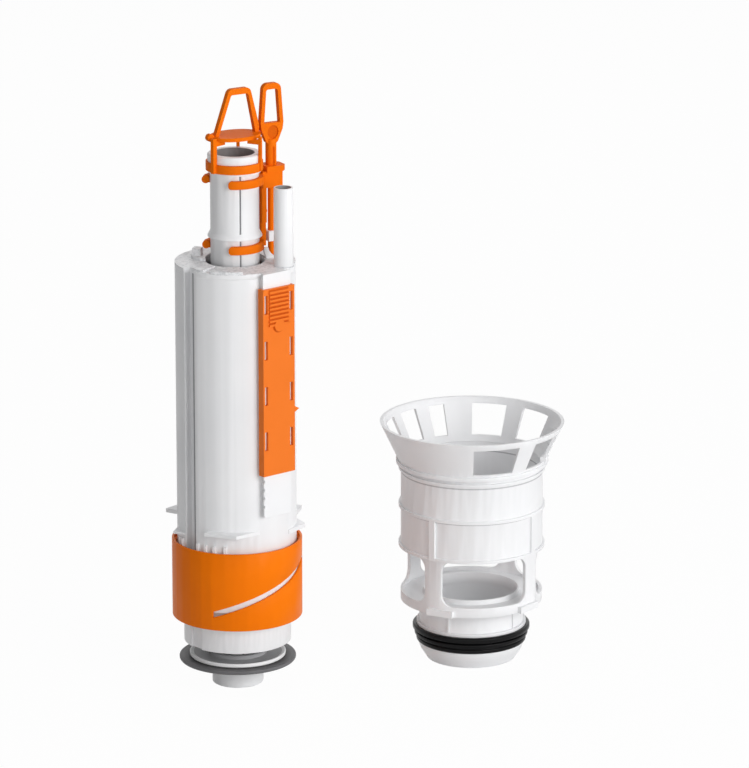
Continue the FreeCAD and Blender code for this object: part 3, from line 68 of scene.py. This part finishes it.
class Wire:
    """An output in a node tree, with the operators that add Math nodes."""

    def __init__(self, paint, socket):
        self.paint = paint
        self.socket = socket

    def combined(self, operation, one, two):
        return self.paint.node("ShaderNodeMath", {"operation": operation}, {0: one, 1: two})

    def __add__(self, other):
        return self.combined("ADD", self, other)

    def __sub__(self, other):
        return self.combined("SUBTRACT", self, other)

    def __mul__(self, other):
        return self.combined("MULTIPLY", self, other)

    def __gt__(self, other):
        return self.combined("GREATER_THAN", self, other)

    def __lt__(self, other):
        return self.combined("LESS_THAN", self, other)

    def __radd__(self, other):
        return self.combined("ADD", other, self)

    def __rsub__(self, other):
        return self.combined("SUBTRACT", other, self)

    def __rmul__(self, other):
        return self.combined("MULTIPLY", other, self)


class Paint:
    """The node tree of a material or a world, and the one way in which its nodes are made."""

    def __init__(self, owner):
        self.owner = owner
        self.owner.use_nodes = True
        self.tree = self.owner.node_tree
        self.tree.nodes.clear()

    def node(self, kind, settings=None, sockets=None, output=0):
        """Adds a node: its settings first, then values or wires on its sockets."""
        made = self.tree.nodes.new(kind)
        for name, value in (settings or {}).items():
            setattr(made, name, value)
        for name, value in (sockets or {}).items():
            if isinstance(value, Wire):
                self.tree.links.new(value.socket, made.inputs[name])
            else:
                made.inputs[name].default_value = value
        return Wire(self, made.outputs[output]) if made.outputs else None

    def spot(self):
        """The place of a point of the object, in metres in the frame, with all joints at rest."""
        return self.node("ShaderNodeTexCoord", output="Object")

    def noise(self, size, detail, stretch=(1, 1, 1)):
        """Noise from 0 to 1 whose lumps are about as large as size, in metres."""
        spot = self.node("ShaderNodeMapping", {}, {"Vector": self.spot(), "Scale": stretch})
        return self.node(
            "ShaderNodeTexNoise", {}, {"Vector": spot, "Scale": 1 / size, "Detail": detail},
        )

    def along(self, middle, axis):
        """How far a point of the object lies from middle in the direction of axis."""
        apart = self.node(
            "ShaderNodeVectorMath", {"operation": "SUBTRACT"}, {0: self.spot(), 1: middle},
        )
        return self.node(
            "ShaderNodeVectorMath", {"operation": "DOT_PRODUCT"}, {0: apart, 1: axis}, "Value",
        )

    def above(self, level):
        """How far a point of the object lies above a level."""
        return self.along((0, 0, level), (0, 0, 1))

    def mixed(self, share, one, two):
        """A colour between one and two."""
        return self.node("ShaderNodeMix", {"data_type": "RGBA"}, {0: share, 6: one, 7: two}, 2)

    def finish(self, bump, deep, **sockets):
        """Ends a material in a Principled shader, with a bump as deep as given in metres."""
        sockets["Normal"] = self.node(
            "ShaderNodeBump", {}, {"Height": bump, "Strength": 1.0, "Distance": deep},
        )
        named = {name.replace("_", " "): value for name, value in sockets.items()}
        shader = self.node("ShaderNodeBsdfPrincipled", {}, named)
        self.node("ShaderNodeOutputMaterial", {}, {"Surface": shader})
        return self.owner


def white_behind(paint, others):
    """The share of a ray that sees plain white: straight on, mirrored or through a piece."""
    share = 0
    for kind in ("Is Camera Ray", "Is Glossy Ray", "Is Transmission Ray"):
        share = share + paint.node("ShaderNodeLightPath", output=kind)
    return share * others


pure_white = (1, 1, 1, 1)
paper_white = (0.8, 0.8, 0.8, 1)
floor_paint = Paint(bpy.data.materials.new("studio_floor"))
paper = floor_paint.node("ShaderNodeBsdfDiffuse", {}, {"Color": paper_white})
glow = floor_paint.node("ShaderNodeEmission", {}, {"Color": pure_white, "Strength": 1.0})
floor_shader = floor_paint.node(
    "ShaderNodeMixShader", {}, {0: white_behind(floor_paint, 0.97), 1: paper, 2: glow},
)
floor_paint.node("ShaderNodeOutputMaterial", {}, {"Surface": floor_shader})

floor_half = 6.0
floor_mesh = bpy.data.meshes.new("studio_floor")
floor_mesh.from_pydata(
    [(-floor_half, -floor_half, 0), (floor_half, -floor_half, 0),
     (floor_half, floor_half, 0), (-floor_half, floor_half, 0)],
    [], [(0, 1, 2, 3)],
)
floor_mesh.materials.append(floor_paint.owner)
floor = bpy.data.objects.new("studio_floor", floor_mesh)
bpy.context.scene.collection.objects.link(floor)

bpy.context.scene.world = bpy.data.worlds.new("studio")
air = Paint(bpy.context.scene.world)
behind = air.node("ShaderNodeBackground", {}, {"Color": pure_white, "Strength": 1.0})
around = air.node("ShaderNodeBackground", {}, {"Color": pure_white, "Strength": 0.235})
air_shader = air.node(
    "ShaderNodeMixShader", {}, {0: white_behind(air, 1.0), 1: around, 2: behind},
)
air.node("ShaderNodeOutputWorld", {}, {"Surface": air_shader})


def lamp(name, azimuth, high, far, size, power):
    """A square soft box that faces the point looked at, from an azimuth to the right of the
    camera and an angle high over the floor."""
    light = bpy.data.objects.new(name, bpy.data.lights.new(name, "AREA"))
    light.data.shape = "SQUARE"
    light.data.size = size
    light.data.energy = power
    turn, lift = math.radians(azimuth), math.radians(high)
    level = math.cos(lift)
    away = Vector((math.sin(turn) * level, -math.cos(turn) * level, math.sin(lift)))
    light.location = look_at + away * far
    light.rotation_euler = (-away).to_track_quat("-Z", "Y").to_euler()
    bpy.context.scene.collection.objects.link(light)


lamp("key_lamp", azimuth=42, high=16, far=1.7, size=0.9, power=17.5)
lamp("front_lamp", azimuth=-10, high=14, far=1.7, size=0.9, power=3.4)
lamp("side_lamp", azimuth=82, high=12, far=1.7, size=0.9, power=4.5)
lamp("top_lamp", azimuth=10, high=80, far=1.6, size=1.0, power=4.5)
lamp("back_lamp", azimuth=176, high=30, far=1.7, size=1.2, power=4.0)


# Basket
# The barrel with its legs and spigot, and the funnel ring on top of it, stay in the cistern.
# Both are injection moulded in white polypropylene and held together by clips.

crease = math.radians(38)


def soft_edges(name, wide):
    """Rounds the edges of a CAD node with modifiers."""
    weld = node_object[name].modifiers.new("weld", "WELD")
    weld.merge_threshold = 2e-6
    bevel = node_object[name].modifiers.new("soft_edges", "BEVEL")
    bevel.width = wide
    bevel.segments = 2
    bevel.limit_method = "ANGLE"
    bevel.angle_limit = crease
    bevel.harden_normals = True


def dress(material, *names, edge=0.0003):
    """Gives CAD nodes a material, and edges as soft as a mould leaves them, or sharp at 0."""
    for name in names:
        for slot in node_object[name].material_slots:
            slot.material = material
        if edge:
            soft_edges(name, edge)


def paint_of(red, green, blue):
    """A colour as Blender wants it, from the 0 to 255 that a colour card gives."""
    linear = []
    for value in (red, green, blue):
        share = value / 255
        linear.append(share / 12.92 if share <= 0.04045 else ((share + 0.055) / 1.055) ** 2.4)
    return (*linear, 1.0)


def white_plastic(name, marks=(), grain_deep=0.00002):
    """White polypropylene: cloudy, with the tool's matt grain and faint draw lines up its walls.
    Each mark is a function that gives its share of the surface, and the colour that it has."""
    paint = Paint(bpy.data.materials.new(name))
    cloud = paint.noise(size=0.03, detail=3)
    grain = paint.noise(size=0.0004, detail=2)
    draw_lines = paint.noise(size=0.0011, detail=2, stretch=(1, 1, 0.02))
    colour = paint.mixed(cloud, paint_of(238, 238, 239), paint_of(229, 230, 232))
    for share, mark_colour in marks:
        colour = paint.mixed(share(paint), colour, mark_colour)
    return paint.finish(
        Base_Color=colour,
        Roughness=0.32 + cloud * 0.12 + grain * 0.06,
        IOR=1.49,
        Specular_IOR_Level=0.3,
        bump=grain * 0.5 + draw_lines * 0.4,
        deep=grain_deep,
    )


def out_squared(paint, axis):
    """The square of the distance from an upright axis."""
    aside = paint.along(axis, (1, 0, 0))
    back = paint.along(axis, (0, 1, 0))
    return aside * aside + back * back


def near(paint, axis, radius):
    """1 where the surface lies closer to an upright axis than radius, and 0 elsewhere."""
    return out_squared(paint, axis) < radius ** 2


basket_axis = (0, 0, 0)
barrel_out = 0.0381
hoop_feet = (0.0848, 0.1046)
shade_tall = 0.0007

# A mark reaches this far past the surface that it lies on.
skin = 0.0003


def under_hoops(paint):
    """The line of shade in the corner under each of the barrel's two hoops."""
    height = paint.above(0)
    low, high = [(height > foot - shade_tall) * (height < foot) for foot in hoop_feet]
    return (low + high) * near(paint, basket_axis, barrel_out + skin)


basket_white = white_plastic("basket_moulding", [(under_hoops, paint_of(186, 186, 189))])
plain_white = white_plastic("white_moulding")
dress(basket_white, "basket_body")
dress(plain_white, "basket_funnel")


# Basket's lip seal
# A black rubber collar with three thin lips, stretched over the spigot. Its skin is as smooth
# as the polished mould, with a trace of bloom. The O-ring cord in the tube is of the same rubber.

black = Paint(bpy.data.materials.new("black_rubber"))
black_bloom = black.noise(size=0.006, detail=3)
black_grain = black.noise(size=0.0004, detail=2)
black_rubber = black.finish(
    Base_Color=black.mixed(black_bloom, paint_of(8, 8, 9), paint_of(18, 18, 19)),
    Roughness=0.22 + black_bloom * 0.16,
    Specular_IOR_Level=0.12,
    bump=black_grain,
    deep=0.00002,
)
dress(black_rubber, "basket_lip_seal", "tube_o_ring", edge=0.0002)


# Overflow tube
# The tube that lifts the flush seal and takes an overflow, white polypropylene from a tool in
# two halves, whose parting leaves a groove down the front. A nut on its foot holds the seal.

def facing(azimuth):
    """The directions along and out of an upright face that looks to an azimuth in degrees."""
    turn = math.radians(azimuth)
    return (math.cos(turn), math.sin(turn), 0), (math.sin(turn), -math.cos(turn), 0)


seam_aside, seam_ahead = facing(14.5)
seam_half = 0.00042
seam_in = 0.011
seam_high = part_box("overflow_tube")[1].z - 0.007
tube_bore = 0.0104
tube_out = 0.01285


def groove_painted_shade(paint):
    """The parting groove, under the mouth's bead and inside the tube's outer skin, painted darker
    as shade.
    """
    aside = paint.along(valve_axis, seam_aside)
    front = paint.along(valve_axis, seam_ahead) > seam_in
    below = paint.above(seam_high) < 0
    return (aside * aside < seam_half ** 2) * front * below * near(paint, valve_axis, tube_out)


def bore_painted_shade(paint):
    """The tube's bore, painted darker as shade, since it gets little light."""
    return near(paint, valve_axis, tube_bore + skin)


# Painted shade: the parting groove and the bore are coloured darker grey.
tube_white = white_plastic(
    "tube_moulding", [(groove_painted_shade, paint_of(142, 142, 145)), (bore_painted_shade, paint_of(140, 140, 142))],
)
dress(tube_white, "overflow_tube", edge=0.00012)
dress(plain_white, "seal_nut")


# Flush seal
# A flat washer punched from grey silicone sheet, dull with bloom, and darkened to near black
# towards the plate's edge by a painted contact shadow.

grey = Paint(bpy.data.materials.new("grey_rubber"))
grey_cloud = grey.noise(size=0.012, detail=4)
grey_grain = grey.noise(size=0.0005, detail=3)
shadow_full_out = 0.0256
shadow_end_out = 0.0288
shadow_fade_wide = shadow_end_out ** 2 - shadow_full_out ** 2
# Painted contact shadow: near black at the plate's edge, fading out to the grey rubber.
clear_of_shadow = (out_squared(grey, valve_axis) - shadow_full_out ** 2) * (1 / shadow_fade_wide)
grey_bloom = grey.mixed(grey_cloud, paint_of(90, 90, 92), paint_of(110, 110, 112))
grey_rubber = grey.finish(
    Base_Color=grey.mixed(clear_of_shadow, paint_of(26, 26, 27), grey_bloom),
    Roughness=0.48 + grey_cloud * 0.14,
    Specular_IOR_Level=0.3,
    bump=grey_grain,
    deep=0.00003,
)
dress(grey_rubber, "flush_seal", edge=0.0002)


# Seal retainer
# A white polypropylene plate with a raised rim, which the tube's shoulder presses on the seal.
# Its dish is painted grey as shade and its rim painted whiter as a highlight; the rim is rounded
# and has a smooth outer wall. The solid's rim is plainer than the real one, so the plate is made
# again here, inside its box.

def turned(name, profile, steps=128):
    """A closed profile of radius and height, turned round the valve's axis."""
    points, faces = [], []
    for step in range(steps):
        turn = 2 * math.pi * step / steps
        for radius, height in profile:
            aside, back = radius * math.cos(turn), radius * math.sin(turn)
            points.append((valve_axis.x + aside, valve_axis.y + back, height))
    count = len(profile)
    for step in range(steps):
        here, there = step * count, (step + 1) % steps * count
        for corner in range(count):
            after = (corner + 1) % count
            faces.append((here + corner, there + corner, there + after, here + after))
    mesh = bpy.data.meshes.new(name)
    mesh.from_pydata(points, [], faces)
    mesh.polygons.foreach_set("use_smooth", [True] * len(faces))
    mesh.set_sharp_from_angle(angle=crease)
    piece = bpy.data.objects.new(name, mesh)
    bpy.context.scene.collection.objects.link(piece)
    return piece


plate_low, plate_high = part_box("seal_retainer")
foot, top = plate_low.z, plate_high.z
plate_out = (plate_high.x - plate_low.x) / 2
plate_in = 0.01185
hub_out = 0.0156
gland_out = 0.0136
gland_low = top - 0.0017
dish_out = plate_out - 0.0021
dish_high = foot + 0.0014
dish_fillet_wide = 0.0005
dish_fillet_tall = 0.00015
rim_high = foot + 0.0021
rim_in = plate_out - 0.0009
rim_round = 0.0003
foot_round = 0.0005


def dish_painted_shade(paint):
    """All of the plate but its rim, painted grey as shade."""
    return near(paint, valve_axis, dish_out)


def rim_painted_highlight(paint):
    """The rim and the outer wall, painted whiter than the plastic as a highlight."""
    return 1 - dish_painted_shade(paint)


dish_white = white_plastic(
    "retainer_moulding",
    [(rim_painted_highlight, paint_of(250, 250, 250)), (dish_painted_shade, paint_of(172, 172, 174))], grain_deep=0.00004,
)
retainer = turned("retainer_plate", [
    (plate_in, foot), (plate_out - foot_round, foot), (plate_out, foot + foot_round),
    (plate_out, rim_high - rim_round), (plate_out - rim_round, rim_high), (rim_in, rim_high),
    (dish_out, dish_high + dish_fillet_tall), (dish_out - dish_fillet_wide, dish_high),
    (hub_out, dish_high), (hub_out, top), (gland_out, top), (gland_out, gland_low),
    (plate_in, gland_low),
])
retainer.data.materials.append(dish_white)
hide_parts("seal_retainer")
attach(retainer, "flush_tube")


# Skirt
# The white polypropylene skirt under the barrel, moulded in one with the spokes and the ring
# that guide the tube, so that the seal comes down straight on its seat.

dress(plain_white, "lower_guide")


# Housing
# The white polypropylene barrel that holds the floats, closed by a deck whose top was spark
# eroded in the tool, so it is speckled. The rail, refill tube and rod guide are fixed to them.

refill_low, refill_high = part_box("refill_tube")
refill_axis = (refill_low + refill_high) / 2
refill_bore = 0.0042
deck_high = refill_low.z - 0.0004
speckle_contrast = 5
speckle_cover = 0.35


def on_deck(paint):
    """The speckle of the deck's top, on which the refill tube stands."""
    speckle = paint.noise(size=0.0016, detail=4) - 0.5
    return (paint.above(0) > deck_high) * (speckle * speckle_contrast + speckle_cover)


deck_white = white_plastic(
    "deck_moulding", [(on_deck, paint_of(208, 209, 211))], grain_deep=0.00008,
)
dress(deck_white, "housing_deck")

channel_aside, channel_ahead = facing(-48.8)
channel_floor = 0.0272
channel_half = 0.004
shade_from = 0.0021


def in_channel(paint):
    """The part of the channel's floor that its right edge shades."""
    aside = paint.along(valve_axis, channel_aside)
    depth = paint.along(valve_axis, channel_ahead)
    across = (aside > -shade_from) * (aside < channel_half)
    return across * (depth > channel_floor - skin) * (depth < channel_floor + skin)


shell_white = white_plastic("housing_moulding", [(in_channel, paint_of(156, 156, 159))])
dress(shell_white, "housing_shell")


def refill_bore_painted_shade(paint):
    """The refill tube's bore, painted darker as shade, since it gets little light."""
    return near(paint, refill_axis, refill_bore)


refill_white = white_plastic("refill_moulding", [(refill_bore_painted_shade, paint_of(150, 150, 152))])
dress(refill_white, "refill_tube")
dress(plain_white, "slider_rail", "rod_guide")


# Volume slider
# The orange slide with a pointer that is pushed along the rail to set the short flush. It is
# acetal coloured through, smooth and a little glossy, and its flanges hook round the rail.

def orange_plastic(name, light, full, level, marks=(), rough=0.34):
    """Acetal between a light and a full orange, with the fine grain of a nearly polished tool.
    Level is the shader's specular level."""
    paint = Paint(bpy.data.materials.new(name))
    cloud = paint.noise(size=0.02, detail=3)
    grain = paint.noise(size=0.0003, detail=2)
    colour = paint.mixed(cloud, light, full)
    for share, mark_colour in marks:
        colour = paint.mixed(share(paint), colour, mark_colour)
    return paint.finish(
        Base_Color=colour,
        Roughness=rough + cloud * 0.1 + grain * 0.06,
        IOR=1.48,
        Specular_IOR_Level=level,
        bump=grain,
        deep=0.000015,
    )


slider_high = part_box("volume_slider")[1].z
face_aside, face_ahead = facing(40)
face_out = 0.0361
grip_half = 0.0066
grip_tall = 0.0197
grip_low = slider_high - 0.02
stop_shade = 0.004


def between_ribs(paint):
    """The shaded floor between the ribs of the grip and under the round stop for the thumb."""
    aside = paint.along(valve_axis, face_aside)
    height = paint.above(grip_low)
    on_floor = paint.along(valve_axis, face_ahead) < face_out
    ribs = (aside * aside < grip_half ** 2) * (height > 0) * (height < grip_tall)
    stop = (aside * aside + height * height < stop_shade ** 2) * (height < 0)
    return on_floor * (ribs + stop)


# Painted sheen: the slider's orange is its own, made paler and less saturated than the ring's.
slider_orange = orange_plastic(
    "slider_moulding", paint_of(236, 121, 40), paint_of(230, 115, 34), level=0.12,
    marks=[(between_ribs, paint_of(204, 90, 12))],
)
dress(slider_orange, "volume_slider", edge=0)


# Throttle
# The orange acetal ring that turns by hand round the barrel's foot, and the white sleeve that
# its slots drive down over the basket's windows.

ring_orange = orange_plastic(
    "ring_moulding", paint_of(244, 122, 0), paint_of(238, 113, 0), level=0.09,
)
dress(ring_orange, "throttle_ring")
dress(plain_white, "throttle_sleeve")


# Pulls
# The bail over the tube lifts a full flush. The clip on the tube carries the slim pull of the
# short flush. All three are acetal rods and straps with rounded edges.

pull_aside, pull_ahead = facing(29)
recess_aside = 0.022
recess_high = 0.2976
recess_half_wide = 0.0032
recess_half_tall = 0.0036
recess_full = 1.05
recess_floor = 0.0014


def recess_painted_shade(paint):
    """The floor of the oval recess in the small pull, painted darker orange as shade."""
    aside = (paint.along(valve_axis, pull_aside) - recess_aside) * (1 / recess_half_wide)
    height = paint.above(recess_high) * (1 / recess_half_tall)
    ahead = paint.along(valve_axis, pull_ahead)
    oval = aside * aside + height * height < recess_full
    return oval * (ahead > 0) * (ahead < recess_floor)


pull_orange = orange_plastic(
    "pull_moulding", paint_of(240, 118, 12), paint_of(230, 106, 8), level=0.04,
    marks=[(recess_painted_shade, paint_of(214, 96, 10))], rough=0.44,
)
dress(pull_orange, "full_flush_bail", "half_flush_clip", edge=0.0004)
dress(pull_orange, "half_flush_pull", edge=0.0002)


# Inside guides and latch
# The small white polypropylene mouldings that the housing hides: collars that clip round the
# tube, and the tray, guide, bracket and release latch of the short flush.

dress(
    plain_white, "half_float_tray", "latch_bracket", "release_latch", "upper_guide",
    "float_clip_low", "float_clip_high", "catch_collar",
)


# Floats
# Two floats of closed-cell foam, cut to shape, which shows its cells as fine pits. One sits
# between clips on the tube, and one stands on its tray in the barrel.

cells_per_metre = 1400
foam = Paint(bpy.data.materials.new("float_foam"))
foam_cell = foam.node(
    "ShaderNodeTexVoronoi", {}, {"Vector": foam.spot(), "Scale": cells_per_metre},
)
foam_cloud = foam.noise(size=0.01, detail=3)
float_foam = foam.finish(
    Base_Color=foam.mixed(foam_cloud, paint_of(232, 231, 228), paint_of(218, 217, 213)),
    Roughness=0.72 + foam_cell * 0.15,
    bump=foam_cell,
    deep=0.0001,
)
dress(float_foam, "full_flush_float", "half_flush_float", edge=0.0006)


# Latch axle
# The stainless pin that the release latch turns on, held in the bracket's ears. It is cut
# from drawn wire, with fine lines along it from the die.

steel = Paint(bpy.data.materials.new("drawn_steel"))
die_lines = steel.noise(size=0.0003, detail=2, stretch=(0.05, 1, 1))
drawn_steel = steel.finish(
    Base_Color=steel.mixed(die_lines, paint_of(190, 191, 193), paint_of(160, 161, 164)),
    Metallic=1.0,
    Roughness=0.24 + die_lines * 0.16,
    bump=die_lines,
    deep=0.00001,
)
dress(drawn_steel, "latch_axle", edge=0.0002)
